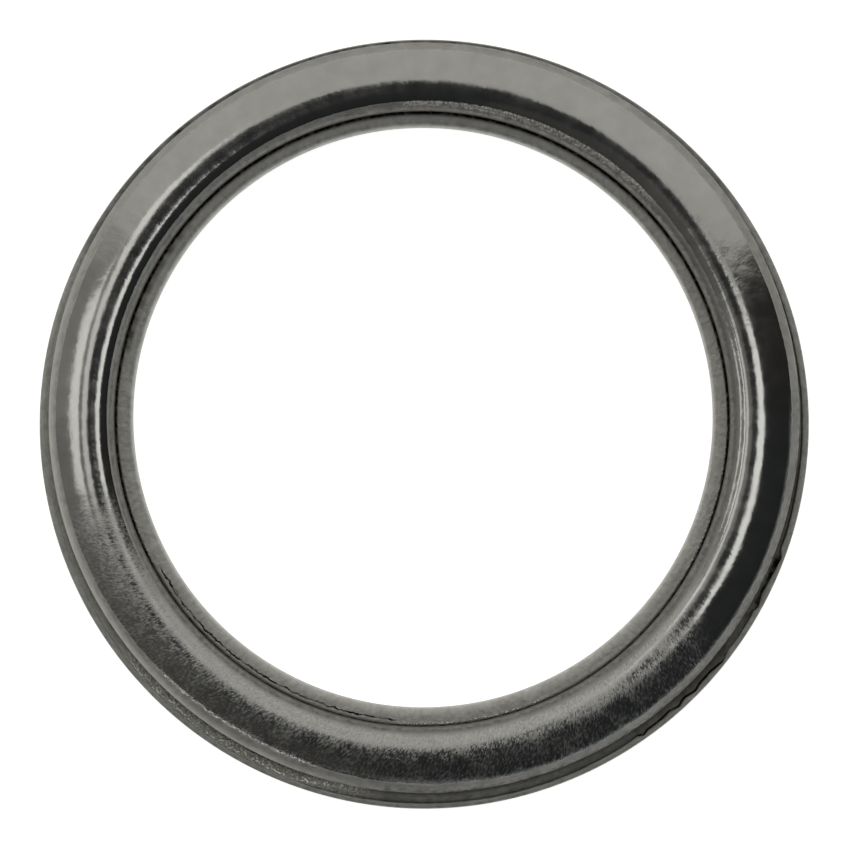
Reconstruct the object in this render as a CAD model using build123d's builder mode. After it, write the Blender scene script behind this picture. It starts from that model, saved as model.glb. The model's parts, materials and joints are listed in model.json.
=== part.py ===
"""Folded crush gasket of an oil drain plug, before it is squeezed.

One ring of steel sheet is folded into an S section: a domed top layer, a middle layer that ends in a
raised bead around the bore, and a flat bottom layer whose edge stands up as a rim around the folds.

Millimetres, +Z up. The origin is on the rim's axis, in the plane that the gasket lies on.
"""

import os
from math import acos, asin, ceil, degrees, radians, sin, sqrt

from build123d import *

# Driving dimensions

thread_diameter = 20.0  # of the plug that passes through the bore
thread_clearance = 0.175  # all round the thread
sheet = 0.30  # thickness of the steel sheet

lower_hollow = 0.45  # height between the bottom and middle layers
upper_hollow = 0.95  # height between the middle layer and the highest ring of the dome
bead_rise = 0.20  # of the bead's top above the middle layer

fold_width = 2.965  # from the bore wall to the outside of the outer fold
lip_width = 0.645  # of the bead that shows inside the top layer
bead_flat = 0.18  # of the bead's level top
crown_width = 1.365  # from the dome's highest ring to the outside of the outer fold
dome_radius = 2.50  # of the dome's outside, across the section

shoulder_bend = 0.08  # inside radii of the bends, from the top layer's free edge on
outer_bend = 0.216
dip_bend = 0.10
bead_bend = 0.05
foot_bend = 0.05
rim_bend = 0.07

seam_gap = 0.02  # from the bead's top up to the raw edge of the top layer
rim_stand = 0.14  # of the rim beyond the outer fold, where they are nearest
rim_clearance = 0.05  # between the rim's raw edge and the outer fold above it
axis_offset = 0.22  # of the folds towards +Y, off the rim's axis
edge_break = 0.04  # on the rim's raw edge
chord_error = 0.014  # of the chords that each bend is drawn in

# Radii and heights of the sheet's centre line

half_sheet = sheet / 2
overall_height = 3 * sheet + lower_hollow + upper_hollow
bore_radius = thread_diameter / 2 + thread_clearance
bore_line = bore_radius + half_sheet
wall_line = bore_radius + lip_width + half_sheet
fold_line = bore_radius + fold_width - half_sheet
bottom_line = half_sheet
middle_line = bottom_line + sheet + lower_hollow
bead_line = middle_line + bead_rise

# Bend radii on the centre line

dome_bend_line = dome_radius - half_sheet
shoulder_bend_line = shoulder_bend + half_sheet
outer_bend_line = outer_bend + half_sheet
dip_bend_line = dip_bend + half_sheet
bead_bend_line = bead_bend + half_sheet
foot_bend_line = foot_bend + half_sheet
rim_bend_line = rim_bend + half_sheet

# The dome runs tangent into the shoulder beside the bore and into the outer fold

dome_ring = bore_radius + fold_width - crown_width
dome_centre = overall_height - dome_radius
shoulder_across = dome_ring - wall_line - shoulder_bend_line
shoulder_reach = dome_bend_line - shoulder_bend_line
shoulder_height = dome_centre + sqrt(shoulder_reach**2 - shoulder_across**2)
inner_slope = degrees(asin(shoulder_across / shoulder_reach))
fold_ring = fold_line - outer_bend_line
fold_across = fold_ring - dome_ring
fold_reach = dome_bend_line - outer_bend_line
fold_foot_height = middle_line + outer_bend_line
outer_slope = degrees(asin(fold_across / fold_reach))

# The bead rises from the middle layer in two bends, one each way, to its level top

bead_slope = degrees(acos(1 - bead_rise / (dip_bend_line + bead_bend_line)))
bead_ring = bore_line + bead_bend_line
dip_start = bead_ring + bead_flat + (dip_bend_line + bead_bend_line) * sin(radians(bead_slope))

# The rim stands around the folds, and its raw edge ends under the outer fold

rim_radius = bore_radius + fold_width + axis_offset + rim_stand
rim_line = rim_radius - half_sheet
rim_under_fold = outer_bend + rim_stand
rim_height = fold_foot_height - sqrt((outer_bend + sheet + rim_clearance) ** 2 - rim_under_fold**2)

# The folds and the rim share the flat bottom layer, and meet halfway across it

meeting_ring = (bore_radius + rim_radius) / 2
fold_plane = Plane.XZ.offset(-axis_offset)
fold_axis = Axis((0, axis_offset, 0), (0, 0, 1))


def bend(run, radius, turn):
    """Draw the sheet's next bend in equal chords, and return the arc that they follow."""
    arc = JernArc(run @ 1, run % 1, radius, turn, mode=Mode.PRIVATE)
    chords = ceil(radians(abs(turn)) / (2 * acos(1 - chord_error / radius)))
    Polyline(*(arc @ (step / chords) for step in range(chords + 1)))
    return arc


with BuildPart() as folded_gasket_ring:
    with BuildSketch(fold_plane):
        with BuildLine():
            wall = Line((wall_line, bead_line + half_sheet + seam_gap), (wall_line, shoulder_height))
            shoulder = bend(wall, shoulder_bend_line, inner_slope - 90)
            dome_inside = bend(shoulder, dome_bend_line, -inner_slope)
            dome_outside = bend(dome_inside, dome_bend_line, -outer_slope)
            fold_top = bend(dome_outside, outer_bend_line, outer_slope - 90)
            fold_side = Line(fold_top @ 1, (fold_line, fold_foot_height))
            fold_foot = bend(fold_side, outer_bend_line, -90)
            middle = Line(fold_foot @ 1, (dip_start, middle_line))
            dip = bend(middle, dip_bend_line, -bead_slope)
            bead_outside = bend(dip, bead_bend_line, bead_slope)
            bead_top = Line(bead_outside @ 1, (bead_ring, bead_line))
            bead_inside = bend(bead_top, bead_bend_line, 90)
            bore_wall = Line(bead_inside @ 1, (bore_line, bottom_line + foot_bend_line))
            foot = bend(bore_wall, foot_bend_line, 90)
            Line(foot @ 1, (meeting_ring + axis_offset + sheet, bottom_line))
        trace(line_width=sheet)
    revolve(axis=fold_axis)

    with BuildSketch(Plane.XZ) as rim_section:
        with BuildLine():
            base = Line((meeting_ring, bottom_line), (rim_line - rim_bend_line, bottom_line))
            rim_corner = bend(base, rim_bend_line, 90)
            Line(rim_corner @ 1, (rim_line, rim_height))
        trace(line_width=sheet)
        chamfer(rim_section.vertices().group_by(Axis.Y)[-1], length=edge_break)
    revolve(axis=Axis.Z)

folded_gasket_ring.part.label = "folded_gasket_ring"

os.makedirs("parts", exist_ok=True)
export_step(folded_gasket_ring.part, "parts/folded_gasket_ring.step")
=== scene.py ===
"""Looks of an oil drain plug gasket: one ring of steel sheet, folded into an S section.

Sizes are written in millimetres and built in metres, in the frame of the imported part.
"""

import json
import logging
import math
from dataclasses import dataclass, field
from enum import Enum
from typing import Any

import bpy
import numpy as np
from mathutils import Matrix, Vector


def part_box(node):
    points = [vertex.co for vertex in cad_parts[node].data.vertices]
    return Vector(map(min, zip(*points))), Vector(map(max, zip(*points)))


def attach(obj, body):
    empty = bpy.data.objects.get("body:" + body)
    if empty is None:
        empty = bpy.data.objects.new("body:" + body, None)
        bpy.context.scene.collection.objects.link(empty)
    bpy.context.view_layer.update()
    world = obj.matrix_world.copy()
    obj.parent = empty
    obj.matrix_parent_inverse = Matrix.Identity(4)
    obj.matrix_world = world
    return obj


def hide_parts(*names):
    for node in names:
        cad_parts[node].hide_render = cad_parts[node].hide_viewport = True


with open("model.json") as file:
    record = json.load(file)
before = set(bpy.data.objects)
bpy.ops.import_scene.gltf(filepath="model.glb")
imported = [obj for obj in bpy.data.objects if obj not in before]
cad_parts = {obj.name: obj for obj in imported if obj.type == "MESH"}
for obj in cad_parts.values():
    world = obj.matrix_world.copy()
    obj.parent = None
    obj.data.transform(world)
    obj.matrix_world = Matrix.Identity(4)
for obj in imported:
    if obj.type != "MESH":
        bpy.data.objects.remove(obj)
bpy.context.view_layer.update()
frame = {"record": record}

NODE = "folded_gasket_ring"
MM = 0.001
MERGED = 0.002 * MM  # points nearer than this become one
SLACK = 0.01  # of a comparison, in millimetres
HAIR = 0.001  # of a close comparison
FAR_OFF = 9.0  # millimetres from a crack, for places that it doesn't reach
NOISE = {1: 0.3, 2: 0.7}  # the span that a noise rarely leaves, as a Map Range takes it
COLOURS = {"output": 2, "data_type": "RGBA"}  # makes a Mix node mix its inputs 6 and 7
log = logging.getLogger("gasket")


def linear(colour: str) -> tuple[float, float, float, float]:
    """Turns an sRGB hex colour into linear values with full alpha.

    Args:
        colour: Six hex digits after a hash.

    Returns:
        Red, green, blue and alpha.
    """
    parts = [int(colour[i : i + 2], 16) / 255 for i in (1, 3, 5)]
    red, green, blue = [c / 12.92 if c <= 0.04045 else ((c + 0.055) / 1.055) ** 2.4 for c in parts]
    return red, green, blue, 1.0


def empty_tree(owner: bpy.types.Material | bpy.types.World) -> bpy.types.NodeTree:
    """Gives a material or a world an empty node tree."""
    owner.use_nodes = True
    owner.node_tree.nodes.clear()
    return owner.node_tree


def add_node(
    tree: bpy.types.NodeTree,
    kind: str,
    inputs: dict[Any, Any] | None = None,
    output: int | str = 0,
    **settings: Any,
) -> bpy.types.NodeSocket | None:
    """Adds one shader node, with its settings and its links.

    Args:
        tree: The node tree that gets it.
        kind: The node's type, without the word ShaderNode.
        inputs: Socket name or number, and the value or the output socket that feeds it.
        output: Name or number of the output that is used.
        settings: The node's own properties.

    Returns:
        That output, or nothing for a node that has none.
    """
    node = tree.nodes.new("ShaderNode" + kind)
    for name, value in settings.items():
        setattr(node, name, value)
    for socket, value in (inputs or {}).items():
        if isinstance(value, bpy.types.NodeSocket):
            tree.links.new(value, node.inputs[socket])
        else:
            node.inputs[socket].default_value = value
    return node.outputs[output] if node.outputs else None


def smooth_step(value: np.ndarray, low: float, high: float) -> np.ndarray:
    """Rises smoothly from 0 at low to 1 at high."""
    share = np.clip((value - low) / (high - low), 0, 1)
    return share * share * (3 - 2 * share)


def bell(value: np.ndarray, middle: float, width: float) -> np.ndarray:
    """Is 1 at the middle and falls away on both sides."""
    return np.exp(-(((value - middle) / width) ** 2))


def ripple(azimuth: np.ndarray, waves: tuple[int, int], seed: int) -> np.ndarray:
    """Adds up to 14 uneven waves around the ring that close on themselves.

    Args:
        azimuth: Degrees anticlockwise from +X.
        waves: The fewest and the most waves in a turn.
        seed: Picks the waves.

    Returns:
        Values that mostly lie between -1 and 1.
    """
    chance = np.random.default_rng(seed)
    total = np.zeros_like(azimuth)
    counts = np.unique(np.linspace(waves[0], waves[1], 14).astype(int))
    for count in counts:
        phase = np.radians(azimuth) * count
        total += chance.normal() * np.cos(phase + chance.uniform(0, 2 * math.pi))
    return total / math.sqrt(len(counts))


@dataclass(frozen=True)
class Arc:
    """A stretch of the ring, in degrees anticlockwise from +X.

    Attributes:
        start: Where it starts.
        end: Where it ends, anticlockwise from its start.
        soft: How far it takes to fade beyond each end.
    """

    start: float
    end: float
    soft: float

    def share(self, azimuth: np.ndarray) -> np.ndarray:
        """Is 1 on the stretch and falls to 0 beyond its ends."""
        half = (self.end - self.start) / 2
        off_middle = np.abs((azimuth - self.start - half + 180) % 360 - 180)
        return 1 - smooth_step(off_middle, half, half + self.soft)


@dataclass
class Spots:
    """The ring's vertices. Sizes are in millimetres.

    Attributes:
        row: Point of the outline that each comes from.
        azimuth: Degrees anticlockwise from +X.
        radius: From the fold axis, or from the rim's for what turns about that.
        height: Above the seat.
    """

    row: np.ndarray
    azimuth: np.ndarray
    radius: np.ndarray
    height: np.ndarray

    def within(self, arcs: tuple[Arc, ...]) -> np.ndarray:
        """Is 1 on any of the stretches and falls to 0 beyond their ends."""
        return np.maximum.reduce([arc.share(self.azimuth) for arc in arcs])


class Face(Enum):
    """Which face of the sheet an outline follows, walking from the top layer's free edge."""

    LEFT = 1
    RIGHT = -1


@dataclass
class Stretch:
    """One run or bend of the sheet, measured on its centre line.

    Attributes:
        name: What the stretch is.
        length: Of a straight run, in millimetres.
        radius: Of a bend, in millimetres.
        turn: Of a bend, in degrees, above zero to the left.
        left_steps: Edges along its left face.
        right_steps: Edges along its right face.
    """

    name: str
    length: float = 0.0
    radius: float = 0.0
    turn: float = 0.0
    left_steps: int = 1
    right_steps: int = 1


@dataclass
class OutlinePen:
    """Draws one closed outline in edit mode, edge by edge, in the plane through the fold axis.

    Attributes:
        name: Of the object that it draws.
        ring: Distance from the Z axis, in millimetres.
        height: Above the seat, in millimetres.
        heading: Degrees above the outward direction.
        points: Ring and height of each vertex so far.
    """

    name: str
    ring: float
    height: float
    heading: float
    points: list[tuple[float, float]] = field(default_factory=list)

    def start(self) -> None:
        """Adds a plane, merges it to one vertex and moves that to the first point."""
        bpy.ops.object.select_all(action="DESELECT")
        bpy.ops.mesh.primitive_plane_add(size=MM)
        bpy.context.object.name = self.name
        bpy.ops.object.mode_set(mode="EDIT")
        bpy.ops.mesh.select_mode(type="VERT")
        bpy.ops.mesh.select_all(action="SELECT")
        bpy.ops.mesh.merge(type="CENTER")
        bpy.ops.transform.translate(value=(self.ring * MM, 0, self.height * MM))
        self.points.append((self.ring, self.height))

    def run(self, length: float, steps: int) -> None:
        """Extrudes the end vertex straight ahead.

        Args:
            length: Of the whole run, in millimetres.
            steps: Edges that it is drawn in.
        """
        ahead = math.radians(self.heading)
        across = length / steps * math.cos(ahead)
        up = length / steps * math.sin(ahead)
        step = {"value": (across * MM, 0, up * MM)}
        for _ in range(steps):
            bpy.ops.mesh.extrude_vertices_move(TRANSFORM_OT_translate=step)
            self.ring += across
            self.height += up
            self.points.append((self.ring, self.height))

    def bend(self, radius: float, turn: float, steps: int) -> None:
        """Spins the end vertex along an arc.

        Args:
            radius: In millimetres.
            turn: In degrees, above zero to the left.
            steps: Edges that it is drawn in.
        """
        side = math.radians(self.heading + math.copysign(90, turn))
        across = self.ring + radius * math.cos(side)
        up = self.height + radius * math.sin(side)
        angle = math.radians(turn)
        centre = (across * MM, 0, up * MM)
        bpy.ops.mesh.spin(steps=steps, angle=angle, center=centre, axis=(0, 1, 0))
        for step in range(1, steps + 1):
            spoke = side + math.pi + angle * step / steps
            self.points.append((across + radius * math.cos(spoke), up + radius * math.sin(spoke)))
        self.ring, self.height = self.points[-1]
        self.heading += turn

    def close(self) -> None:
        """Merges the last point into the first and leaves edit mode."""
        bpy.ops.mesh.select_all(action="SELECT")
        bpy.ops.mesh.remove_doubles(threshold=MERGED)
        bpy.ops.object.mode_set(mode="OBJECT")
        self.points.pop()


@dataclass(frozen=True)
class Crack:
    """A thin jagged crack round part of the ring.

    Attributes:
        name: Of the attribute that holds how far off it a place is.
        arc: Where it runs.
        radius: From the fold axis, in millimetres.
        jag: How far it strays, in millimetres.
        waves: The fewest and the most times that it strays in a turn.
        least: Share of its width below which it has ended.
    """

    name: str
    arc: Arc
    radius: float
    jag: float = 0.018
    waves: tuple[int, int] = (25, 160)
    least: float = 0.02

    def distance(self, spots: Spots) -> np.ndarray:
        """Measures how far places are from the crack, which narrows to nothing at its ends.

        Args:
            spots: The places.

        Returns:
            Millimetres outwards from the crack.
        """
        opening = self.arc.share(spots.azimuth)
        stray = self.jag * ripple(spots.azimuth, self.waves, round(self.arc.start))
        off = (spots.radius - self.radius - stray) / np.maximum(opening, self.least)
        return np.where(opening > self.least, off, FAR_OFF)


@dataclass(frozen=True)
class SteelSheetFinish:
    """Cold-rolled steel sheet, folded and pressed, then burnished on the dome by the tool.

    To the eye it is a dull grey metal with a fine grain, and the dome mirrors the lamps in soft
    bands, broken by short scratches across it. Dark rust fills the cracks, a stain lies on the bead
    and some edges are worn bright. Painted shade darkens the seam, the gaps and the sides under
    the folds, and painted glints lie on the creases and in the gap by the rim.

    A tone is the darkest and the lightest share of a colour, and widths and depths are in
    millimetres.

    Attributes:
        burnished: Colour of the dome.
        dull: Colour of the bends, the lip and the rim.
        oxide_and_shade: Colour of the cracks, the stain, and the painted shade and shadow.
        bare: Colour of an edge that is worn bright, and of the painted glints.
        mean_radius: Where the patterns have their true size, between the bore and the rim.
        grain: Width of the dull parts' grain, drawn coarse: the real one is finer than a pixel.
        cloud: Width of the dull parts' clouds.
        scratch: Width of a scratch on the dome.
        scratch_ratio: Its width as a share of its length.
        scratch_slant: How much it leans, in radians for each millimetre along the section.
        patch: Width of the dome's patches.
        ragged: Width of the bays in a crack's edge.
        fleck: Width of a bright fleck on a worn edge and in a painted glint.
        crack: Width of a crack.
        crack_fade: Width over which its edges fade.
        crack_stray: How far its edge strays.
        burnish_stray: How far the burnish's edge strays.
        burnish_fade: Width over which it fades.
        tones: What each pattern does to a colour.
        shade_stain_tone: What the grain does to the painted shade and the stain.
        burnished_roughness: Lowest and highest on the dome between its scratches.
        dull_roughness: The same on the grainy parts.
        scuff_roughness: What the least and the worst scuffs add.
        fleck_roughness: What a bright fleck adds.
        unscuffed_depth: Depth of the scratches outside the scuffed part, as a share of those in it.
        scratch_depth: Of the dome's scratches, up and down.
        patch_depth: Of the dome's waves.
        grain_depth: Of the dull parts' grain.
        mark_depth: Of a crack, and height of a bright fleck.
    """

    burnished: str = "#9d9c98"
    dull: str = "#aeada7"
    # colour of the rust, the stain and the painted shade
    oxide_and_shade: str = "#241e19"
    # colour of worn edges and painted glints
    bare: str = "#e0ddd4"
    mean_radius: float = 12.0
    grain: float = 0.10
    cloud: float = 0.294
    scratch: float = 0.03
    scratch_ratio: float = 0.55
    scratch_slant: float = 0.04
    patch: float = 0.3125
    ragged: float = 0.0714
    fleck: float = 0.04
    crack: float = 0.055
    crack_fade: float = 0.03
    crack_stray: float = 0.025
    burnish_stray: float = 0.012
    burnish_fade: float = 0.035
    tones: tuple[tuple[str, float, float], ...] = (
        ("streaks", 0.72, 1.30),
        ("patches", 0.93, 1.06),
        ("grain", 0.82, 1.18),
        ("clouds", 0.90, 1.08),
    )
    shade_stain_tone: tuple[float, float] = (0.75, 1.25)
    burnished_roughness: tuple[float, float] = (0.08, 0.14)
    dull_roughness: tuple[float, float] = (0.52, 0.64)
    scuff_roughness: tuple[float, float] = (0.02, 0.23)
    fleck_roughness: float = -0.25
    unscuffed_depth: float = 0.1
    scratch_depth: float = 0.0004
    patch_depth: float = 0.0015
    grain_depth: float = 0.005
    mark_depth: float = 0.02

    def build(self, burnish: tuple[float, float], cracks: tuple[Crack, ...]) -> bpy.types.Material:
        """Makes the material.

        Args:
            burnish: Where the dome's burnish starts and ends, in millimetres along the outline.
            cracks: Cracks in the sheet.

        Returns:
            The material.
        """
        material = bpy.data.materials.new("cold_rolled_steel")
        tree = empty_tree(material)
        layers = self.patterns(tree)
        self.masks(tree, layers, burnish, cracks)
        coat = {
            "Base Color": self.colour(tree, layers),
            "Metallic": 1.0,
            "Roughness": self.roughness(tree, layers),
            "Normal": self.relief(tree, layers),
        }
        add_node(tree, "OutputMaterial", {"Surface": add_node(tree, "BsdfPrincipled", coat)})
        return material

    def patterns(self, tree: bpy.types.NodeTree) -> dict[str, bpy.types.NodeSocket]:
        """Adds the noises, and reads the ring's own marks.

        Args:
            tree: The material's nodes.

        Returns:
            The outputs by name.
        """
        # Two of these marks carry painted shade with a stain, and worn edges with painted glints.
        layers = {
            name: add_node(tree, "Attribute", output="Fac", attribute_name=name)
            for name in ("along", "scuffed", "grime", "bare")
        }

        # Place on the ring in millimetres: x and y go round it, z goes along the section.
        place = add_node(tree, "TexCoord", output="Object")
        flat = add_node(tree, "VectorMath", {0: place, 1: (1, 1, 0)}, operation="MULTIPLY")
        spoke = add_node(tree, "VectorMath", {0: flat}, operation="NORMALIZE")
        around = add_node(tree, "VectorMath", {0: spoke, 3: self.mean_radius}, operation="SCALE")
        up = add_node(tree, "CombineXYZ", {2: layers["along"]})
        surface = add_node(tree, "VectorMath", {0: around, 1: up}, operation="ADD")

        # Scratches run across the ring, so their noise is drawn out along the section.
        lean = {0: layers["along"], 1: self.scratch_slant}
        lean = {"Vector": surface, "Angle": add_node(tree, "Math", lean, operation="MULTIPLY")}
        turned = add_node(tree, "VectorRotate", lean, rotation_type="Z_AXIS")
        longer = {0: turned, 1: (1, 1, self.scratch_ratio)}
        drawn_out = add_node(tree, "VectorMath", longer, operation="MULTIPLY")

        # A bump of a noise is about half a unit wide.
        for name, vector, width, detail in (
            ("grain", surface, self.grain, 3.0),
            ("clouds", surface, self.cloud, 3.0),
            ("streaks", drawn_out, self.scratch, 4.0),
            ("patches", surface, self.patch, 5.0),
            ("bays", surface, self.ragged, 2.0),
            ("glints", surface, self.fleck, 2.0),
        ):
            noise = {"Vector": vector, "Scale": 0.5 / width, "Detail": detail}
            layers[name] = add_node(tree, "TexNoise", noise)
        return layers

    def masks(
        self,
        tree: bpy.types.NodeTree,
        layers: dict[str, bpy.types.NodeSocket],
        burnish: tuple[float, float],
        cracks: tuple[Crack, ...],
    ) -> None:
        """Adds the masks of the burnish, the cracks and the bright flecks to the layers.

        Args:
            tree: The material's nodes.
            layers: Outputs by name.
            burnish: Where the dome's burnish starts and ends, in millimetres along the outline.
            cracks: Cracks in the sheet.
        """
        # The dome's burnish ends at a crease on each side, with a slightly uneven edge.
        stray = {0: layers["patches"], **NOISE, 3: -self.burnish_stray, 4: self.burnish_stray}
        uneven = {0: layers["along"], 1: add_node(tree, "MapRange", stray)}
        uneven = add_node(tree, "Math", uneven, operation="ADD")
        layers["burnish"] = self.band(tree, uneven, burnish, self.burnish_fade)

        # Cracks are ragged, and closed here and there.
        stray = {0: layers["bays"], **NOISE, 3: -self.crack_stray, 4: self.crack_stray}
        stray = add_node(tree, "MapRange", stray)
        sides = (-self.crack / 2, self.crack / 2)
        cracked = 0.0
        for crack in cracks:
            off = add_node(tree, "Attribute", output="Fac", attribute_name=crack.name)
            off = add_node(tree, "Math", {0: off, 1: stray}, operation="ADD")
            line = self.band(tree, off, sides, self.crack_fade)
            cracked = add_node(tree, "Math", {0: line, 1: cracked}, operation="MAXIMUM")
        open_share = {0: layers["clouds"], 1: 0.40, 2: 0.52, 3: 0.35, 4: 1.0}
        both = {0: cracked, 1: add_node(tree, "MapRange", open_share)}
        layers["cracked"] = add_node(tree, "Math", both, operation="MULTIPLY")

        # Worn edges and painted glints are bright in flecks only.
        flecks = add_node(tree, "MapRange", {0: layers["glints"], 1: 0.46, 2: 0.58})
        both = {0: layers["bare"], 1: flecks}
        layers["rubbed"] = add_node(tree, "Math", both, operation="MULTIPLY")

    def colour(
        self, tree: bpy.types.NodeTree, layers: dict[str, bpy.types.NodeSocket]
    ) -> bpy.types.NodeSocket:
        """Colours the dome, the dull parts, the worn flecks and painted glints, and the painted
        shade and the stain.

        Args:
            tree: The material's nodes.
            layers: Outputs by name.

        Returns:
            The base colour.
        """
        tones = {
            name: add_node(tree, "MapRange", {0: layers[name], **NOISE, 3: dark, 4: light})
            for name, dark, light in self.tones
        }

        # The scratches show in the dome's colour only where it is scuffed.
        shown = {0: layers["scuffed"], 2: 1.0, 3: tones["streaks"]}
        tones["streaks"] = add_node(tree, "Mix", shown, data_type="FLOAT")
        coats = []
        for hue, fine, broad in (
            (self.dull, "grain", "clouds"),
            (self.burnished, "streaks", "patches"),
        ):
            tone = add_node(tree, "Math", {0: tones[fine], 1: tones[broad]}, operation="MULTIPLY")
            coat = {0: linear(hue)[:3], 3: tone}
            coats.append(add_node(tree, "VectorMath", coat, operation="SCALE"))
        metal = add_node(tree, "Mix", {0: layers["burnish"], 6: coats[0], 7: coats[1]}, **COLOURS)
        # Worn edges and painted glints brighten the metal in flecks.
        both = {0: layers["rubbed"], 6: metal, 7: linear(self.bare)}
        metal = add_node(tree, "Mix", both, **COLOURS)

        # Painted shade and shadow and a stain on the bead lie over the metal, and dark rust fills
        # the cracks.
        dark, light = self.shade_stain_tone
        speck = add_node(tree, "MapRange", {0: layers["grain"], **NOISE, 3: dark, 4: light})
        # Painted shade and shadow, and the stain, darken the colour
        darkened = add_node(tree, "Math", {0: layers["grime"], 1: speck}, operation="MULTIPLY")
        both = {0: darkened, 1: layers["cracked"]}
        darkened = add_node(tree, "Math", both, operation="MAXIMUM", use_clamp=True)
        return add_node(tree, "Mix", {0: darkened, 6: metal, 7: linear(self.oxide_and_shade)}, **COLOURS)

    def roughness(
        self, tree: bpy.types.NodeTree, layers: dict[str, bpy.types.NodeSocket]
    ) -> bpy.types.NodeSocket:
        """Makes the scuffs rougher flecks in the smooth dome, and the other parts dull.

        Args:
            tree: The material's nodes.
            layers: Outputs by name.

        Returns:
            The roughness.
        """
        low, high = self.burnished_roughness
        dome = add_node(tree, "MapRange", {0: layers["patches"], **NOISE, 3: low, 4: high})

        # The worst scuffs are where a scratch crosses a light patch.
        worn = {0: layers["patches"], 1: 0.4, 2: layers["streaks"]}
        worn = add_node(tree, "Math", worn, operation="MULTIPLY_ADD")
        low, high = self.scuff_roughness
        scuffs = add_node(tree, "MapRange", {0: worn, 1: 0.60, 2: 0.86, 3: low, 4: high})
        scuffs = {0: scuffs, 1: layers["scuffed"], 2: dome}
        dome = add_node(tree, "Math", scuffs, operation="MULTIPLY_ADD")
        low, high = self.dull_roughness
        dull = add_node(tree, "MapRange", {0: layers["grain"], **NOISE, 3: low, 4: high})
        sheet = add_node(tree, "Mix", {0: layers["burnish"], 2: dull, 3: dome}, data_type="FLOAT")
        smoother = {0: layers["rubbed"], 1: self.fleck_roughness, 2: sheet}
        return add_node(tree, "Math", smoother, operation="MULTIPLY_ADD")

    def relief(
        self, tree: bpy.types.NodeTree, layers: dict[str, bpy.types.NodeSocket]
    ) -> bpy.types.NodeSocket:
        """Adds the relief, which is level with the sheet on average.

        Args:
            tree: The material's nodes.
            layers: Outputs by name.

        Returns:
            The bumped normal.
        """
        scratches, waves, dull = (
            add_node(tree, "MapRange", {0: layers[name], **NOISE, 3: -depth, 4: depth})
            for name, depth in (
                ("streaks", self.scratch_depth),
                ("patches", self.patch_depth),
                ("grain", self.grain_depth),
            )
        )
        share = add_node(tree, "MapRange", {0: layers["scuffed"], 3: self.unscuffed_depth, 4: 1.0})
        dome = {0: scratches, 1: share, 2: waves}
        dome = add_node(tree, "Math", dome, operation="MULTIPLY_ADD")
        height = add_node(tree, "Mix", {0: layers["burnish"], 2: dull, 3: dome}, data_type="FLOAT")
        for name, depth in (("cracked", -self.mark_depth), ("rubbed", self.mark_depth)):
            mark = {0: layers[name], 1: depth, 2: height}
            height = add_node(tree, "Math", mark, operation="MULTIPLY_ADD")
        return add_node(tree, "Bump", {"Height": height, "Strength": 1.0, "Distance": MM})

    def band(
        self,
        tree: bpy.types.NodeTree,
        value: bpy.types.NodeSocket,
        limits: tuple[float, float],
        soft: float,
    ) -> bpy.types.NodeSocket:
        """Is 1 between two limits and 0 beyond them.

        Args:
            tree: The material's nodes.
            value: What is compared with the limits.
            limits: The lower and the upper one.
            soft: How far it takes to fade at each.

        Returns:
            The mask.
        """
        rise, fall = (
            add_node(
                tree,
                "MapRange",
                {0: value, 1: limit - side * soft / 2, 2: limit + side * soft / 2},
                interpolation_type="SMOOTHSTEP",
            )
            for limit, side in zip(limits, (1, -1))
        )
        return add_node(tree, "Math", {0: rise, 1: fall}, operation="MULTIPLY")


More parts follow.
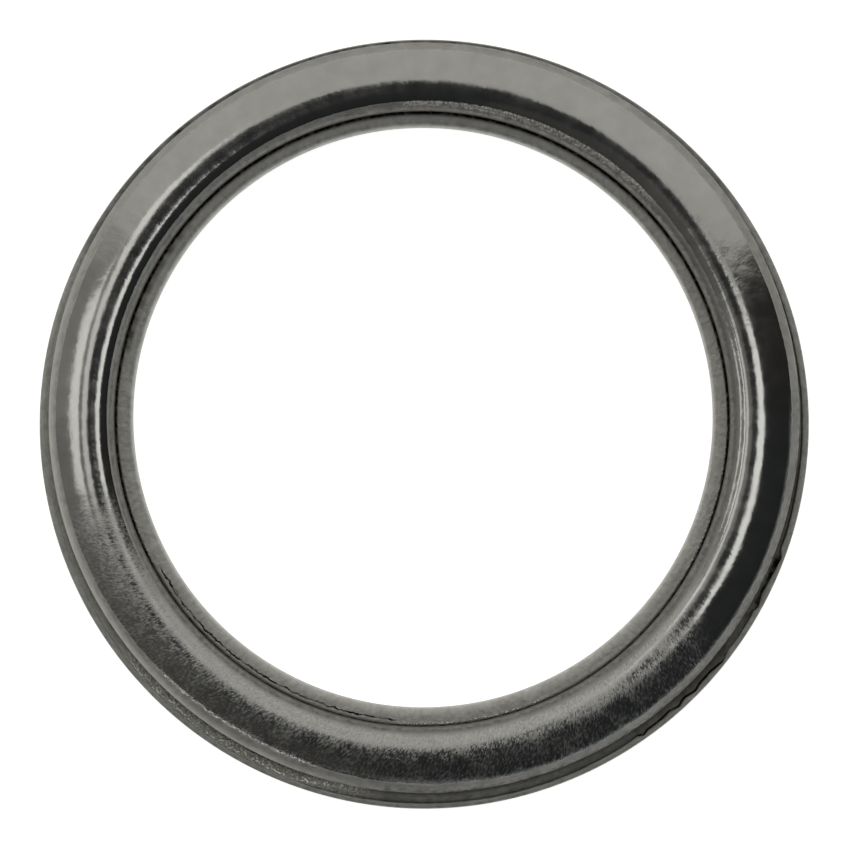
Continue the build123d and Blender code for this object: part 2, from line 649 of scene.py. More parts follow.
@dataclass(frozen=True)
class Wear:
    """Where the ring is pressed, torn, stained and worn, and where shade and glints are painted.
    Sizes are in millimetres.

    A fade is two radii, or two distances from a named edge, between which something sets in.

    Attributes:
        inner_shift: How far the seam and the free edge sit off the fold axis, along X and Y.
        inner_fade: Distances from the wall's centre line over which that shift ends.
        bore_shift: How far the bore sits off the fold axis, along X and Y.
        bore_fade: Distances from the bore over which that shift ends.
        edge_lean: How far the top layer's free edge leans in towards the bore.
        dome_foot: Height above which the ring is dome.
        crown_inset: How far the highest ring is pressed in towards the bore.
        crown_fades: Where that sets in and where it ends.
        east_squeeze: How far the dome beside the inner crease is pressed in at the east.
        east_ring: Radius where it is pressed in most, and how wide that place is.
        east: Where it is pressed in.
        crease_shift: Azimuth in degrees, and how far out the outer crease strays there.
        crease_width: How wide the strip is that strays with it.
        crease_jitter: How far it strays besides, in small waves.
        bead_crest: Power of the bead's curve on the bore's side, where 2 is a true arc.
        rim_fillet: Radius of the places that the rim's inner side runs through, and their height
            at the north, at the west and at the south, where the gap is caked up.
        west: Where the rim's inner side takes its western heights.
        rim_land: Radius at which the rim's level top starts.
        wider: How much nearer it starts on the wide arc.
        wide: Where it does.
        tears: Azimuth in degrees, and the radius that the torn inner edge of the rim has there.
        torn: Where that edge is torn.
        edge_slant: How wide the edge's bend is where it is whole and where it is torn, as a share.
        cracks: Cracks in the sheet.
        scuffed: Where the dome is scuffed.
        seam: Distance from the bore to the seam.
        seam_shade: How far off the seam its painted shade starts to fade and ends, at the east and
            west.
        seam_spread: How much further that is at the north.
        shoulder_shade: How dark the painted shade on the bend beside the bore is, and the share
            that its top loses.
        shoulder_fade: Where it loses it.
        fold_shade: Azimuth in degrees, and how dark the painted shade on the outer fold's side is
            there.
        shade_below: Its share under the fold.
        shadowed_tears: Where painted shadow lies below the torn edge.
        rim_darkening: How dark the rim's inner side is, and how much darker on the darker arc.
        darker_rim: The arc where it is darker.
        stain: How dark the bead is on the stained arc.
        stained: The stained arc.
        stain_fade: Where the stain sets in, and where it ends.
        land_shadow: How dark the painted shadow on the rim's top is on the shadowed arc, and how
            much darker where most.
        shadowed_land: The shadowed arc.
        most_shadowed: Where it is darkest.
        land_border: Width of the strip along the rim's outside that the shadow leaves out.
        frayed: Where the bead's frayed edge beside the seam is worn bright, with painted glints.
        frayed_strip: Its distance from the bore and half its width.
        shoulder_glint: Where the inner crease gets painted glints.
        shoulder_glint_fade: Where that sets in, and where it ends.
        crease_glint: Where the outer crease gets a painted glint.
        rim_glint: Where the rim's inner side gets painted glints.
    """

    inner_shift: tuple[float, float] = (-0.075, -0.035)
    inner_fade: tuple[float, float] = (-0.05, 0.15)
    bore_shift: tuple[float, float] = (-0.045, 0.01)
    bore_fade: tuple[float, float] = (0.12, 0.38)
    edge_lean: float = 0.05
    dome_foot: float = 1.6
    crown_inset: float = 0.065
    crown_fades: tuple[float, float, float, float] = (11.13, 11.4, 12.3, 12.8)
    east_squeeze: float = 0.065
    east_ring: tuple[float, float] = (11.35, 0.3)
    east: Arc = Arc(-35, 25, 25)
    crease_shift: tuple[tuple[float, float], ...] = (
        (0, 0.0),
        (90, 0.0),
        (180, 0.03),
        (212, -0.03),
        (240, -0.16),
        (270, -0.05),
        (300, 0.04),
        (330, 0.04),
        (360, 0.0),
    )
    crease_width: float = 0.22
    crease_jitter: float = 0.008
    bead_crest: float = 3.0
    rim_fillet: tuple[tuple[float, float, float, float], ...] = (
        (12.70, 0.52, 0.60, 0.82),
        (12.82, 0.62, 0.66, 0.93),
        (12.92, 0.68, 0.72, 0.97),
        (13.00, 0.715, 0.77, 0.94),
        (13.07, 0.74, 0.80, 0.89),
        (13.14, 0.755, 0.815, 0.84),
        (13.20, 0.765, 0.822, 0.80),
        (13.23, 0.776, 0.825, 0.776),
    )
    west: Arc = Arc(150, 248, 15)
    rim_land: float = 13.27
    wider: float = 0.03
    wide: Arc = Arc(-50, 200, 20)
    tears: tuple[tuple[float, float], ...] = (
        (304.5, 13.28),
        (305.3, 13.38),
        (306.0, 13.30),
        (309.0, 13.30),
        (310.5, 13.26),
        (312.2, 13.36),
        (312.8, 13.30),
        (313.5, 13.26),
        (315.6, 13.37),
        (316.5, 13.30),
        (319.0, 13.29),
        (321.5, 13.39),
        (323.5, 13.27),
        (330.4, 13.27),
        (331.2, 13.36),
        (333.3, 13.25),
        (336.0, 13.29),
        (339.5, 13.38),
        (340.5, 13.27),
    )
    torn: tuple[Arc, ...] = (Arc(305, 323, 2), Arc(331, 340, 2))
    edge_slant: tuple[float, float] = (1.2, 0.3)
    cracks: tuple[Crack, ...] = (
        Crack("lip_crack", Arc(215, 264, 1.5), 10.59),
        Crack("lip_crack_end", Arc(210.5, 215.5, 1.5), 10.55),
    )
    scuffed: Arc = Arc(200, 318, 10)
    seam: float = 0.585
    seam_shade: tuple[float, float] = (0.04, 0.12)
    seam_spread: float = 0.375
    shoulder_shade: tuple[float, float] = (0.62, 0.75)
    shoulder_fade: tuple[float, float] = (10.9, 11.1)
    fold_shade: tuple[tuple[float, float], ...] = (
        (0, 0.75),
        (60, 0.65),
        (130, 0.6),
        (180, 0.3),
        (215, 0.3),
        (245, 0.5),
        (268, 0.95),
        (330, 0.95),
        (360, 0.75),
    )
    shade_below: float = 0.3
    shadowed_tears: tuple[Arc, ...] = (Arc(305, 321, 2), Arc(332, 339, 1.5))
    rim_darkening: tuple[float, float] = (0.05, 0.5)
    darker_rim: Arc = Arc(266, 350, 14)
    stain: float = 0.6
    stained: Arc = Arc(143, 166, 4)
    stain_fade: tuple[float, float, float] = (10.45, 10.58, 10.8)
    land_shadow: tuple[float, float] = (0.42, 0.25)
    shadowed_land: Arc = Arc(38, 150, 6)
    most_shadowed: Arc = Arc(80, 130, 20)
    land_border: float = 0.04
    frayed: tuple[Arc, ...] = (Arc(268, 292, 4), Arc(328, 362, 4), Arc(197, 207, 2))
    frayed_strip: tuple[float, float] = (0.53, 0.035)
    shoulder_glint: Arc = Arc(45, 92, 4)
    shoulder_glint_fade: tuple[float, float, float] = (10.93, 11.0, 11.085)
    crease_glint: Arc = Arc(226, 250, 5)
    rim_glint: Arc = Arc(222, 258, 6)


@dataclass
class FoldedRing:
    """The gasket: one ring of sheet in an S section. All sizes are in millimetres.

    Attributes:
        rim_radius: Of the upturned rim's outside.
        bore_radius: Of the bore wall.
        overall_height: From the seat to the top of the dome.
        axis_offset: Of the folds towards +Y, off the rim's axis.
        sheet: Thickness.
        middle_height: From the seat to the upper face of the middle layer.
        bead_rise: Of the bead above the middle layer.
        bead_flat: Width of the bead's level top.
        seam_gap: From the bead's top up to the top layer's free edge.
        fold_width: From the bore wall to the outside of the outer fold.
        lip_width: Of the bead that shows inside the top layer.
        crown_width: From the highest ring of the dome to the outside of the outer fold.
        dome_radius: Of the dome's outside, across the section.
        shoulder_bend: Inside radius of the bend beside the bore.
        outer_bend: Inside radius of the two bends of the outer fold.
        dip_bend: Inside radius of the first bend of the bead.
        bead_bend: Inside radius of the bead.
        foot_bend: Inside radius at the foot of the bore wall.
        rim_bend: Inside radius at the foot of the rim.
        rim_height: Of the rim's raw edge above the seat.
        edge_round: Radius of the raw edges.
        burnish_lap: How far the dome's burnish reaches onto the bend beside the bore.
        around: Steps that the section is spun in.
        wear: Where it is pressed, torn, stained and worn, and where shade and glints are painted.
        finish: What it is dressed in.
        spans: First and last outline point of each stretch on each face.
    """

    rim_radius: float
    bore_radius: float
    overall_height: float
    axis_offset: float
    sheet: float = 0.30
    middle_height: float = 1.05
    bead_rise: float = 0.20
    bead_flat: float = 0.18
    seam_gap: float = 0.02
    fold_width: float = 2.965
    lip_width: float = 0.645
    crown_width: float = 1.365
    dome_radius: float = 2.50
    shoulder_bend: float = 0.08
    outer_bend: float = 0.216
    dip_bend: float = 0.10
    bead_bend: float = 0.05
    foot_bend: float = 0.05
    rim_bend: float = 0.07
    rim_height: float = 0.826
    edge_round: float = 0.05
    burnish_lap: float = 0.02
    around: int = 840
    wear: Wear = field(default_factory=Wear)
    finish: SteelSheetFinish = field(default_factory=SteelSheetFinish)
    spans: dict[tuple[str, Face], tuple[int, int]] = field(default_factory=dict)

    @property
    def wall_line(self) -> float:
        """Radius of the wall's centre line."""
        return self.bore_radius + self.lip_width + self.sheet / 2

    @property
    def free_edge(self) -> float:
        """Height of the top layer's free edge."""
        return self.middle_height + self.bead_rise + self.seam_gap

    def stretches(self) -> list[Stretch]:
        """Works out the sheet's runs and bends, from the top layer's free edge to the rim's edge.

        Returns:
            The stretches in order.
        """
        half = self.sheet / 2
        fold_line = self.bore_radius + self.fold_width - half
        middle_line = self.middle_height - half
        bead_line = middle_line + self.bead_rise
        dome = self.dome_radius - half
        shoulder, fold, dip, bead, foot, rim = (
            inside + half
            for inside in (
                self.shoulder_bend,
                self.outer_bend,
                self.dip_bend,
                self.bead_bend,
                self.foot_bend,
                self.rim_bend,
            )
        )
        dome_ring = self.bore_radius + self.fold_width - self.crown_width
        dome_centre = self.overall_height - self.dome_radius
        fold_across = fold_line - fold - dome_ring
        fold_top = dome_centre + math.sqrt((dome - fold) ** 2 - fold_across**2)
        outer_slope = math.degrees(math.asin(fold_across / (dome - fold)))
        reach = dome - shoulder
        shoulder_across = dome_ring - self.wall_line - shoulder
        shoulder_height = dome_centre + math.sqrt(reach**2 - shoulder_across**2)
        inner_slope = math.degrees(math.asin(shoulder_across / reach))
        wall = shoulder_height - self.free_edge
        shoulder_turn = inner_slope - 90
        dome_turn = -inner_slope - outer_slope
        bead_slope = math.degrees(math.acos(1 - self.bead_rise / (dip + bead)))
        dip_start = self.bore_radius + half + bead + self.bead_flat
        dip_start += (dip + bead) * math.sin(math.radians(bead_slope))
        bottom = self.rim_radius - half - rim - (self.bore_radius + half + foot)
        return [
            Stretch("wall", length=wall, left_steps=3),
            Stretch("shoulder", radius=shoulder, turn=shoulder_turn, left_steps=8, right_steps=2),
            Stretch("dome", radius=dome, turn=dome_turn, left_steps=18, right_steps=3),
            Stretch("fold_top", radius=fold, turn=outer_slope - 90, left_steps=8, right_steps=2),
            Stretch("fold_side", length=fold_top - middle_line - fold),
            Stretch("fold_foot", radius=fold, turn=-90, left_steps=5, right_steps=2),
            Stretch("middle", length=fold_line - fold - dip_start),
            Stretch("dip", radius=dip, turn=-bead_slope, left_steps=2, right_steps=2),
            Stretch("bead_outside", radius=bead, turn=bead_slope, left_steps=2, right_steps=4),
            Stretch("bead_top", length=self.bead_flat, right_steps=3),
            Stretch("bead_inside", radius=bead, turn=90, left_steps=2, right_steps=7),
            Stretch("bore_wall", length=bead_line - bead - half - foot, right_steps=2),
            Stretch("foot", radius=foot, turn=90, left_steps=2, right_steps=3),
            Stretch("bottom", length=bottom, left_steps=3, right_steps=2),
            Stretch("rim_foot", radius=rim, turn=90, left_steps=3, right_steps=4),
            Stretch("rim", length=self.rim_height - half - rim, left_steps=4, right_steps=3),
        ]

    def walk(self, pen: OutlinePen, run: list[Stretch], face: Face) -> None:
        """Draws one face of the sheet and the raw edge at its end.

        Args:
            pen: Stands at the start of the first stretch.
            run: The stretches in the order in which the pen meets them.
            face: Which face it draws.
        """
        half = self.sheet / 2
        for stretch in run:
            steps = stretch.left_steps if face is Face.LEFT else stretch.right_steps
            first = len(pen.points) - 1
            if stretch.turn:
                outside = math.copysign(half, stretch.turn) * -face.value
                pen.bend(stretch.radius + outside, stretch.turn * face.value, steps)
            else:
                trim = self.edge_round * (stretch.name in ("wall", "rim"))
                pen.run(stretch.length - trim, steps)
            self.spans[(stretch.name, face)] = (first, len(pen.points) - 1)
        first = len(pen.points) - 1
        pen.bend(self.edge_round, -90, 2)
        pen.run(self.sheet - 2 * self.edge_round, 1)
        pen.bend(self.edge_round, -90, 2)
        self.spans[("raw_edge", face)] = (first, len(pen.points) - 1)

    def build(self) -> bpy.types.Object:
        """Draws the section, spins it into the ring, presses it and dresses it.

        Returns:
            The finished ring.
        """
        run = self.stretches()
        start = (self.wall_line - self.sheet / 2, self.free_edge + self.edge_round)
        pen = OutlinePen(NODE + "_dressed", *start, heading=90)
        pen.start()
        self.walk(pen, run, Face.LEFT)
        self.walk(pen, run[::-1], Face.RIGHT)
        pen.close()
        ring = bpy.context.object
        outline = np.array(pen.points)
        edges = np.linalg.norm(np.diff(outline, axis=0), axis=1)
        along = np.concatenate([[0], np.cumsum(edges)])

        bpy.ops.object.mode_set(mode="EDIT")
        bpy.ops.mesh.select_all(action="SELECT")
        whole_turn = 2 * math.pi
        bpy.ops.mesh.spin(steps=self.around, angle=whole_turn, center=(0, 0, 0), axis=(0, 0, 1))
        bpy.ops.mesh.select_all(action="SELECT")
        bpy.ops.mesh.remove_doubles(threshold=MERGED)
        bpy.ops.mesh.normals_make_consistent(inside=False)
        bpy.ops.object.mode_set(mode="OBJECT")

        spots = self.find(ring.data, outline)
        self.press_dome(spots, outline[self.spans[("dome", Face.LEFT)][1], 0])
        self.square_bead(spots)
        own_axis = self.shape_rim(spots)
        self.place(ring.data, spots, own_axis)
        self.paint(ring.data, spots, along)
        bpy.ops.object.shade_smooth()
        burnish_start = along[self.spans[("shoulder", Face.LEFT)][1]] - self.burnish_lap
        burnish_end = along[self.spans[("dome", Face.LEFT)][1]]
        steel = self.finish.build((burnish_start, burnish_end), self.wear.cracks)
        ring.data.materials.append(steel)
        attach(ring, "root")
        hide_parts(NODE)
        log.info("%s: %d faces", ring.name, len(ring.data.polygons))
        return ring

    def find(self, mesh: bpy.types.Mesh, outline: np.ndarray) -> Spots:
        """Reads where the vertices of the true ring are.

        Args:
            mesh: The spun mesh.
            outline: Ring and height of each point of the section.

        Returns:
            The vertices.
        """
        points = np.empty(len(mesh.vertices) * 3, np.float32)
        mesh.vertices.foreach_get("co", points)
        x, y, height = (points.reshape(-1, 3).astype(float) / MM).T
        radius = np.hypot(x, y)
        rings, heights = outline.T
        gaps = np.hypot(radius[:, None] - rings, height[:, None] - heights)
        return Spots(np.argmin(gaps, axis=1), np.degrees(np.arctan2(y, x)) % 360, radius, height)

    def press_dome(self, spots: Spots, crease: float) -> None:
        """Lets the outer crease stray, and presses in the highest ring and the dome at the east.

        Args:
            spots: The ring's vertices.
            crease: Radius of the true crease.
        """
        wear = self.wear
        on_dome = spots.height > wear.dome_foot
        near_crease = bell(spots.radius, crease, wear.crease_width)
        near_crease = near_crease * (spots.height > self.middle_height)
        stray = np.interp(spots.azimuth, *np.transpose(wear.crease_shift))
        stray = stray + wear.crease_jitter * ripple(spots.azimuth, (5, 40), 3)
        crown = smooth_step(spots.radius, *wear.crown_fades[:2])
        crown = crown * (1 - smooth_step(spots.radius, *wear.crown_fades[2:])) * on_dome
        squeezed = bell(spots.radius, *wear.east_ring) * on_dome * wear.east.share(spots.azimuth)
        inwards = wear.crown_inset * crown + wear.east_squeeze * squeezed
        spots.radius = spots.radius + stray * near_crease - inwards

    def square_bead(self, spots: Spots) -> None:
        """Presses the bead's crest flat, squarer than a true bend on the bore's side."""
        reach = self.bead_bend + self.sheet
        crest = self.between(spots, ("bead_inside", Face.RIGHT)) > 0
        across = np.clip((self.bore_radius + reach - spots.radius) / reach, 0, 1)
        power = self.wear.bead_crest
        rise = np.power(np.clip(1 - np.power(across, power), 0, 1), 1 / power) * reach
        bead_top = self.middle_height + self.bead_rise
        spots.height = np.where(crest, bead_top - reach + rise, spots.height)

    def shape_rim(self, spots: Spots) -> np.ndarray:
        """Fills the bend inside the rim and tears its inner edge.

        Args:
            spots: The ring's vertices.

        Returns:
            How far each turns about the rim's own axis, from 0 to 1.
        """
        wear = self.wear
        inside = self.rim_radius - self.sheet
        rim = (spots.radius > inside - SLACK) & (spots.height < self.rim_height + SLACK)

        # The bottom layer goes over from the fold axis to the rim's.
        own_axis = smooth_step(spots.radius, self.bore_radius + 1, self.rim_radius - 0.6)
        own_axis = np.where(rim, 1.0, own_axis * (spots.height < self.middle_height / 2))

        # The inner side runs through the places of the fillet, whose heights change round the ring.
        first = self.spans[("rim_foot", Face.LEFT)][0]
        last = self.spans[("rim", Face.LEFT)][1]
        inner_side = (spots.row >= first) & (spots.row <= last)
        climb = np.linspace(0, 1, len(wear.rim_fillet))
        share = (spots.row - first) / (last - first)
        radius, north, west, south = (
            np.interp(share, climb, column) for column in np.transpose(wear.rim_fillet)
        )
        to_west = wear.west.share(spots.azimuth)
        to_south = np.clip(-np.sin(np.radians(spots.azimuth)), 0, 1) ** 2 * (1 - to_west)
        filled = north + (west - north) * to_west + (south - north) * to_south
        spots.radius = np.where(inner_side, radius, spots.radius)
        spots.height = np.where(inner_side, filled, spots.height)
        own_axis = np.where(inner_side, 1.0, own_axis)

        # The inner edge of the level top
        land = wear.rim_land - wear.wider * wear.wide.share(spots.azimuth)
        torn = np.interp(spots.azimuth, *np.transpose(wear.tears), left=0, right=0)
        edge = rim & (spots.height > self.rim_height - self.edge_round - HAIR)
        edge = edge & (spots.radius < inside + self.edge_round + SLACK)
        slant = np.interp(spots.within(wear.torn), (0, 1), wear.edge_slant)
        leant = np.maximum(torn, land) + slant * (spots.radius - inside)
        spots.radius = np.where(edge, leant, spots.radius)
        return own_axis

    def place(self, mesh: bpy.types.Mesh, spots: Spots, own_axis: np.ndarray) -> None:
        """Puts the vertices about their axes and leans the free edge.

        Args:
            mesh: The ring's mesh.
            spots: The ring's vertices.
            own_axis: How far each turns about the rim's own axis, from 0 to 1.
        """
        wear = self.wear
        fade = [self.wall_line + distance for distance in wear.inner_fade]
        inner = 1 - smooth_step(spots.radius, *fade)
        fade = [self.bore_radius + distance for distance in wear.bore_fade]
        at_bore = 1 - smooth_step(spots.radius, *fade)
        shift_x, shift_y = (
            inner * (seam + (bore - seam) * at_bore)
            for seam, bore in zip(wear.inner_shift, wear.bore_shift)
        )
        wall_outside = self.wall_line + self.sheet / 2 + SLACK
        leans = (spots.height > self.free_edge - HAIR) & (spots.radius < wall_outside)
        upright = smooth_step(spots.height, self.free_edge, self.overall_height - 0.15)
        spots.radius = spots.radius - wear.edge_lean * leans * (1 - upright)
        turn = np.radians(spots.azimuth)
        points = (
            spots.radius * np.cos(turn) + shift_x,
            spots.radius * np.sin(turn) + self.axis_offset * (1 - own_axis) + shift_y,
            spots.height,
        )
        points = np.stack(points, axis=1) * MM
        mesh.vertices.foreach_set("co", points.astype(np.float32).ravel())
        mesh.update()

    def paint(self, mesh: bpy.types.Mesh, spots: Spots, along: np.ndarray) -> None:
        """Stores the marks that the material reads, one value of each for each vertex.

        Args:
            mesh: The ring's mesh.
            spots: The ring's vertices.
            along: Length of the outline up to each point.
        """
        marks = {
            "along": along[spots.row],
            "scuffed": self.wear.scuffed.share(spots.azimuth),
            # painted shade and shadow, and a stain
            "grime": self.grime(spots),
            # worn edges and painted glints
            "bare": self.bare(spots),
        }
        for crack in self.wear.cracks:
            off = crack.distance(spots)
            marks[crack.name] = np.where(spots.height > self.middle_height, off, FAR_OFF)
        for name, values in marks.items():
            layer = mesh.attributes.new(name, "FLOAT", "POINT")
            layer.data.foreach_set("value", values.astype(np.float32))

    def grime(self, spots: Spots) -> np.ndarray:
        """Works out where painted shade and shadow, and a stain, darken the metal.

        Args:
            spots: The ring's vertices.

        Returns:
            A value from 0 to 1 for each vertex.
        """
        wear = self.wear
        azimuth, radius, height = spots.azimuth, spots.radius, spots.height
        on_top = height > self.middle_height

        # Painted shade in the seam, wider to the north
        spread = 1 + wear.seam_spread * np.sin(np.radians(azimuth))
        off_seam = np.abs(radius - self.bore_radius - wear.seam) / spread
        seam = (1 - smooth_step(off_seam, *wear.seam_shade)) * on_top
        seam = seam * (height < self.free_edge + 0.2)

        # Painted shade on the wall and the bend beside the bore, lighter at its top
        dark, loss = wear.shoulder_shade
        shoulder = self.between(spots, ("wall", Face.LEFT), ("shoulder", Face.LEFT))
        shoulder = dark * shoulder * (1 - loss * smooth_step(radius, *wear.shoulder_fade))

        # Painted shade on the side of the outer fold, darker downwards, and thin under the fold
        fold_shade = np.interp(azimuth, *np.transpose(wear.fold_shade))
        first, last = self.spans[("fold_top", Face.LEFT)]
        down = np.sqrt(np.clip((spots.row - first) / (last - first), 0, 1))
        fold = fold_shade * down * self.between(spots, ("fold_top", Face.LEFT))
        below = self.between(spots, ("fold_side", Face.LEFT), ("fold_foot", Face.LEFT))
        below = wear.shade_below * fold_shade * below

        # Painted shadow below the rim's torn edge, and darkening on its inner side
        rim_inside = self.rim_radius - self.sheet - SLACK
        tears = spots.within(wear.shadowed_tears) * self.between(spots, ("rim", Face.LEFT))
        tears = tears * (radius > rim_inside)
        faint, more = wear.rim_darkening
        rim = self.between(spots, ("rim_foot", Face.LEFT), ("rim", Face.LEFT))
        rim = rim * (faint + more * wear.darker_rim.share(azimuth))

        # A mottled stain on the bead
        start, full, end = wear.stain_fade
        stain = wear.stained.share(azimuth) * smooth_step(radius, start, full) * (radius < end)
        stain = wear.stain * stain * on_top * (0.7 + 0.6 * ripple(azimuth, (30, 120), 5))

        # Painted shadow of the outer fold on the rim's level top
        dark, more = wear.land_shadow
        land = self.between(spots, ("raw_edge", Face.LEFT))
        land = land * (radius < self.rim_radius - wear.land_border)
        land = land * (dark + more * wear.most_shadowed.share(azimuth)) * wear.shadowed_land.share(azimuth)
        land = land * (1 + 0.14 * ripple(azimuth, (40, 200), 8))
        darkest = np.maximum.reduce([seam, shoulder, fold, below, tears, rim, stain, land])
        return np.clip(darkest, 0, 1)

    def bare(self, spots: Spots) -> np.ndarray:
        """Works out where an edge is worn to bright metal, and where glints are painted.

        Args:
            spots: The ring's vertices.

        Returns:
            A value from 0 to 1 for each vertex.
        """
        wear = self.wear
        azimuth, radius = spots.azimuth, spots.radius
        strip, half_width = wear.frayed_strip
        bead = self.between(spots, ("bead_outside", Face.RIGHT)) * spots.within(wear.frayed)
        bead = bead * (np.abs(radius - self.bore_radius - strip) < half_width)
        # Painted glints on the inner crease, the outer crease and the rim's inner side
        start, full, end = wear.shoulder_glint_fade
        inner_crease = self.between(spots, ("shoulder", Face.LEFT)) * (radius < end)
        inner_crease = inner_crease * smooth_step(radius, start, full)
        inner_crease = inner_crease * wear.shoulder_glint.share(azimuth)
        outer_crease = spots.row == self.spans[("fold_top", Face.LEFT)][0]
        outer_crease = outer_crease * wear.crease_glint.share(azimuth)
        rim = self.between(spots, ("rim_foot", Face.LEFT), ("rim", Face.LEFT))
        rim = rim * wear.rim_glint.share(azimuth)
        return np.clip(bead + inner_crease + outer_crease + rim, 0, 1)

    def between(
        self, spots: Spots, start: tuple[str, Face], end: tuple[str, Face] | None = None
    ) -> np.ndarray:
        """Is 1 for the vertices of one stretch of a face, or of several in a row.

        Args:
            spots: The ring's vertices.
            start: Name and face of the first stretch.
            end: Name and face of the last one, if there are several.

        Returns:
            A value of 0 or 1 for each vertex.
        """
        first = self.spans[start][0]
        last = self.spans[end or start][1]
        return ((spots.row >= first) & (spots.row <= last)).astype(float)


@dataclass(frozen=True)
class PaleCardFinish:
    """Matt pale card, which looks as white as a lit backdrop to the camera and in the metal.

    Attributes:
        card: Its colour.
        glow: What it gives off to the camera and in mirrors, where 1 is white.
        white: Colour of that.
    """

    card: str = "#d8d8d6"
    glow: float = 0.85
    white: str = "#ffffff"

    def build(self) -> bpy.types.Material:
        """Makes the material.

        Returns:
            The material, which is clear from below, so that the ring's flat bottom shows.
        """
        material = bpy.data.materials.new("pale_card")
        tree = empty_tree(material)
        rays = add_node(tree, "LightPath").node.outputs
        seen = {0: rays["Is Camera Ray"], 1: rays["Is Glossy Ray"]}
        seen = {0: add_node(tree, "Math", seen, operation="ADD"), 1: rays["Is Transmission Ray"]}
        seen = add_node(tree, "Math", seen, operation="ADD", use_clamp=True)
        glow = add_node(tree, "Math", {0: seen, 1: self.glow}, operation="MULTIPLY")
        card = add_node(tree, "BsdfDiffuse", {"Color": linear(self.card)})
        light = add_node(tree, "Emission", {"Color": linear(self.white), "Strength": glow})
        both = add_node(tree, "AddShader", {0: card, 1: light})
        back = add_node(tree, "NewGeometry", output="Backfacing")
        clear = add_node(tree, "BsdfTransparent")
        shown = add_node(tree, "MixShader", {0: back, 1: both, 2: clear})
        add_node(tree, "OutputMaterial", {"Surface": shown})
        return material


@dataclass(frozen=True)
class Softbox:
    """A lamp over the ring, square on to the floor. Sizes are in millimetres.

    Attributes:
        name: Where it hangs.
        middle: Its place over the floor.
        size: Along X and along Y.
        turn: About the vertical, in degrees.
        radiance: How bright it looks, where 1 is white.
    """

    name: str
    middle: tuple[float, float]
    size: tuple[float, float]
    turn: float
    radiance: float

    def hang(self, height: float) -> None:
        """Adds the lamp.

        Args:
            height: Above the floor, in millimetres.
        """
        place = (self.middle[0] * MM, self.middle[1] * MM, height * MM)
        turn = (0, 0, math.radians(self.turn))
        bpy.ops.object.light_add(type="AREA", location=place, rotation=turn)
        lamp = bpy.context.object
        lamp.name = self.name
        lamp.data.shape = "RECTANGLE"
        lamp.data.size = self.size[0] * MM
        lamp.data.size_y = self.size[1] * MM
        lamp.data.energy = self.radiance * math.pi * self.size[0] * self.size[1] * MM * MM
        lamp.visible_camera = False


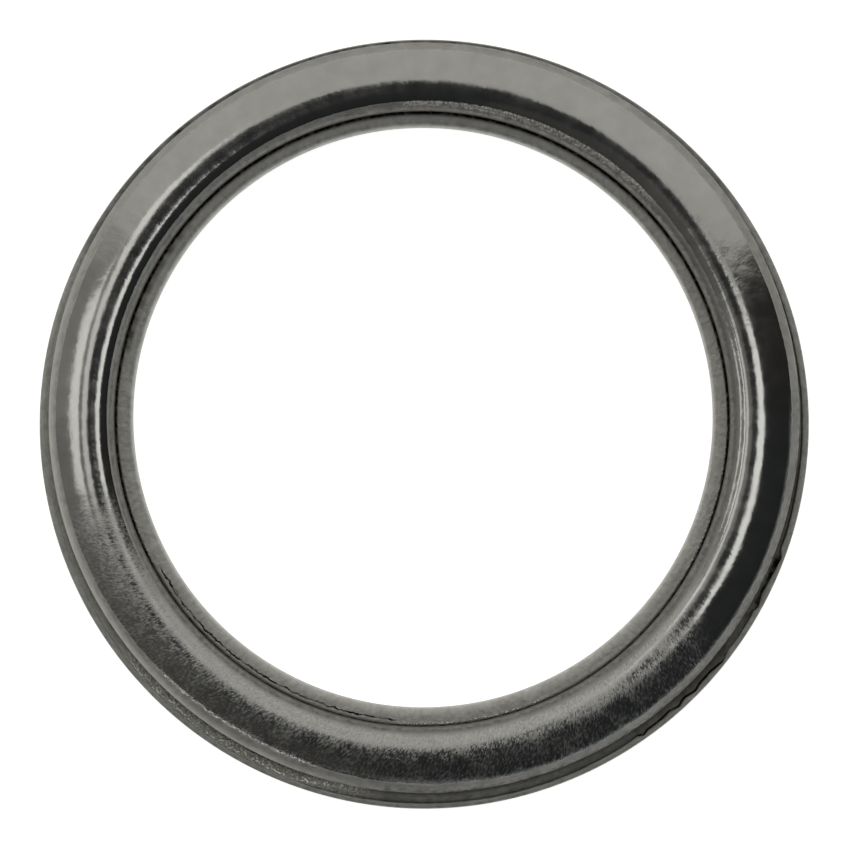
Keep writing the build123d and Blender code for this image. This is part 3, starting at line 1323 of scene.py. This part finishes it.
@dataclass
class Studio:
    """The pale floor, its low wall, the lamps and the camera. Sizes are in millimetres.

    Attributes:
        room: Azimuth in degrees, and how bright the room is that way, where 1 is white.
        room_tint: Red, green and blue of its light.
        shade: Height part of a direction on the dim side, and how bright it is there.
        shade_tint: Red, green and blue of its light.
        light_side: How far north of the zenith the light side sets in, as a slope.
        west_slope: How much of a direction's westward part counts as north.
        east_slopes: Slopes to the east over which the light side comes nearer to the zenith.
        east_nearer: How much nearer it comes.
        softboxes: The lamps.
        lamp_height: Of the softboxes above the floor.
        camera_middle: Where the camera looks down.
        camera_height: Of the camera above the floor.
        rim_pixels: Radius of the rim in the picture.
        picture: Width of the picture in pixels.
        floor_radius: Of the floor disc.
        floor_inset: Width of the strip inside its edge.
        wall_height: Of the floor's turned-up edge.
        floor_drop: How far the floor is below the ring's bottom, so that the two don't coincide.
        floor_finish: What the floor is dressed in.
    """

    room: tuple[tuple[float, float], ...] = (
        (-180, 0.32),
        (-165, 0.30),
        (-145, 0.16),
        (-120, 0.09),
        (-40, 0.08),
        (-10, 0.04),
        (25, 0.04),
        (28, 0.84),
        (145, 0.84),
        (155, 0.40),
    )
    room_tint: tuple[float, float, float] = (1.0, 0.99, 0.965)
    shade: tuple[tuple[float, float], ...] = (
        (0.0, 0.60),
        (0.50, 0.58),
        (0.62, 0.20),
        (0.70, 0.035),
        (0.90, 0.045),
    )
    shade_tint: tuple[float, float, float] = (0.93, 1.0, 1.03)
    light_side: tuple[float, float] = (0.095, 0.115)
    west_slope: float = 0.97
    east_slopes: tuple[float, float] = (0.0, 0.03)
    east_nearer: float = 0.09
    softboxes: tuple[Softbox, ...] = (
        Softbox("east_softbox", (32.6, -6.0), (28.4, 34.0), 19.0, 1.85),
        Softbox("west_softbox", (-45.0, 14.0), (28.0, 62.0), 0.0, 0.90),
        Softbox("far_west_softbox", (-99.0, 8.0), (38.0, 64.0), 0.0, 1.2),
    )
    lamp_height: float = 195.0
    camera_middle: tuple[float, float] = (0.026, -0.029)
    camera_height: float = 300.0
    rim_pixels: float = 384.72
    picture: int = 850
    floor_radius: float = 1000.0
    floor_inset: float = 20.0
    wall_height: float = 150.0
    floor_drop: float = 0.02
    floor_finish: PaleCardFinish = field(default_factory=PaleCardFinish)

    def build_floor(self) -> None:
        """Adds the floor disc just below the seat, with its edge turned up into a low wall."""
        bpy.ops.object.select_all(action="DESELECT")
        bpy.ops.mesh.primitive_circle_add(
            vertices=96,
            radius=self.floor_radius * MM,
            fill_type="NGON",
            location=(0, 0, -self.floor_drop * MM),
        )
        floor = bpy.context.object
        floor.name = "pale_floor"
        bpy.ops.object.mode_set(mode="EDIT")
        bpy.ops.mesh.select_all(action="SELECT")
        bpy.ops.mesh.inset(thickness=self.floor_inset * MM)
        bpy.ops.mesh.select_all(action="DESELECT")
        bpy.ops.object.mode_set(mode="OBJECT")
        for edge in floor.data.edges:
            ends = [floor.data.vertices[i].co for i in edge.vertices]
            edge.select = all(end.xy.length > (self.floor_radius - 1) * MM for end in ends)
        bpy.ops.object.mode_set(mode="EDIT")
        bpy.ops.mesh.select_mode(type="EDGE")
        upwards = {"value": (0, 0, self.wall_height * MM)}
        bpy.ops.mesh.extrude_edges_move(TRANSFORM_OT_translate=upwards)
        bpy.ops.mesh.select_all(action="SELECT")
        bpy.ops.mesh.normals_make_consistent(inside=True)
        bpy.ops.object.mode_set(mode="OBJECT")
        floor.data.materials.append(self.floor_finish.build())
        log.info("floor: %.0f mm across", 2 * self.floor_radius)

    def build_lights(self) -> None:
        """Hangs the softboxes in a room that is light to the north and dim to the south."""
        for softbox in self.softboxes:
            softbox.hang(self.lamp_height)
        world = bpy.data.worlds.new("studio_room")
        bpy.context.scene.world = world
        tree = empty_tree(world)
        direction = add_node(tree, "TexCoord", output="Generated")
        parts = add_node(tree, "SeparateXYZ", {0: direction}).node.outputs
        turn = add_node(tree, "Math", {0: parts["Y"], 1: parts["X"]}, operation="ARCTAN2")
        share = add_node(tree, "MapRange", {0: turn, 1: -math.pi, 2: math.pi})
        stops = [((azimuth + 180) / 360, light) for azimuth, light in self.room]
        sides = []
        for value, lights, tint in (
            (share, stops, self.room_tint),
            (parts["Z"], self.shade, self.shade_tint),
        ):
            side = add_node(tree, "ValToRGB", {0: value})
            elements = side.node.color_ramp.elements
            elements.remove(elements[1])
            for position, light in lights:
                stop = elements[0] if position == 0 else elements.new(position)
                stop.color = (light * tint[0], light * tint[1], light * tint[2], 1)
            sides.append(side)

        # The light side starts a little north of the zenith, nearer to it in the east.
        west = add_node(tree, "Math", {0: parts["X"], 1: -self.west_slope}, operation="MULTIPLY")
        north = add_node(tree, "Math", {0: parts["Y"], 1: west}, operation="MAXIMUM")
        north = add_node(tree, "Math", {0: north, 1: parts["Z"]}, operation="DIVIDE")
        east = add_node(tree, "Math", {0: parts["X"], 1: parts["Z"]}, operation="DIVIDE")
        start, full = self.east_slopes
        nearer = {0: east, 1: start, 2: full, 3: 0.0, 4: self.east_nearer}
        north = {0: north, 1: add_node(tree, "MapRange", nearer)}
        north = add_node(tree, "Math", north, operation="ADD")
        start, full = self.light_side
        lit = add_node(tree, "MapRange", {0: north, 1: start, 2: full})
        light = add_node(tree, "Mix", {0: lit, 6: sides[1], 7: sides[0]}, **COLOURS)

        # To the camera the room is white all round.
        seen = add_node(tree, "LightPath", output="Is Camera Ray")
        light = add_node(tree, "Mix", {0: seen, 6: light, 7: linear("#ffffff")}, **COLOURS)
        room = add_node(tree, "Background", {"Color": light, "Strength": 1.0})
        add_node(tree, "OutputWorld", {"Surface": room})
        log.info("lights: %d softboxes and the room", len(self.softboxes))

    def build_camera(self, ring: FoldedRing) -> None:
        """Adds the camera straight above the ring.

        Args:
            ring: Its rim sets the frame.
        """
        place = (self.camera_middle[0] * MM, self.camera_middle[1] * MM, self.camera_height * MM)
        bpy.ops.object.camera_add(location=place)
        camera = bpy.context.object
        camera.rotation_euler = (0, 0, 0)
        width = self.picture / self.rim_pixels * ring.rim_radius
        camera.data.lens = camera.data.sensor_width * (self.camera_height - ring.rim_height) / width
        camera.data.clip_end = 10
        bpy.context.scene.camera = camera
        bpy.context.scene.view_settings.view_transform = "Standard"
        log.info("camera: %.0f mm lens", camera.data.lens)


def main() -> None:
    """Builds the gasket and the studio in order."""
    logging.basicConfig(level=logging.INFO, format="%(message)s")
    low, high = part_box(NODE)
    bore = next(mount for mount in frame["record"]["mounts"] if mount["name"] == "bore")
    ring = FoldedRing(
        rim_radius=round((high.x - low.x) / 2 / MM, 3),
        bore_radius=bore["dims"]["r_mm"],
        overall_height=round(high.z / MM, 2),
        axis_offset=bore["pos_m"][1] / MM,
    )
    ring.build()
    studio = Studio()
    studio.build_floor()
    studio.build_lights()
    studio.build_camera(ring)


if __name__ == "__main__":
    main()
